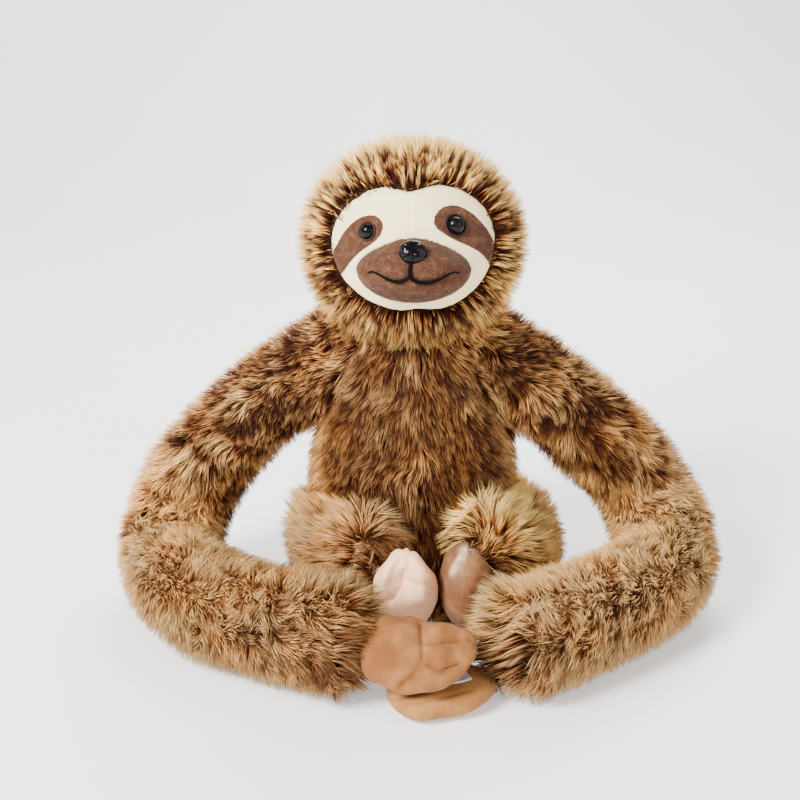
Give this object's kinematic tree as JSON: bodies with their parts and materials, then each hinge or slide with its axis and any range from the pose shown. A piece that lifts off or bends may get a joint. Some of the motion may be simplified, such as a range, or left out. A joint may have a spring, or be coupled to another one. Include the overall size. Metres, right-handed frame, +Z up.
{
  "type": "plush toy sloth",
  "caption": "Sitting plush toy sloth with long furry arms laid in a ring, hands joined in front, white face panel, brown muzzle and eye patches, black plastic nose and eyes.",
  "frame": {"origin": "middle of the flat of the seat, on the surface that the toy sits on", "axes": "+Z up; -Y the way the toy faces; +X to the toy's own left"},
  "size_m": [0.3598, 0.2081, 0.2752],
  "materials": {
    "fur_pile": "long soft two-tone pile, dark brown roots and golden tan tips",
    "cream_velour": "short matt velour",
    "brown_velour": "short matt velour",
    "tan_velour": "short soft velour",
    "foot_velour": "short soft velour",
    "black_plastic": "gloss",
    "black_thread": "satin embroidery thread",
    "touch_tape": "woven hook and loop tape"
  },
  "bodies": {
    "root": {"head": "fur_pile", "trunk": "fur_pile", "upper_arm_right": "fur_pile", "upper_arm_left": "fur_pile", "forearm_right": "fur_pile", "forearm_left": "fur_pile", "leg_right": "fur_pile", "leg_left": "fur_pile", "face_panel": "cream_velour", "eye_patch_right": "brown_velour", "eye_patch_left": "brown_velour", "muzzle": "brown_velour", "hand_right": "tan_velour", "hand_left": "tan_velour", "foot_right": "foot_velour", "foot_left": "foot_velour", "eye_right": "black_plastic", "eye_left": "black_plastic", "nose": "black_plastic", "mouth_thread": "black_thread", "tape_hook": "touch_tape"}
  },
  "joints": []
}
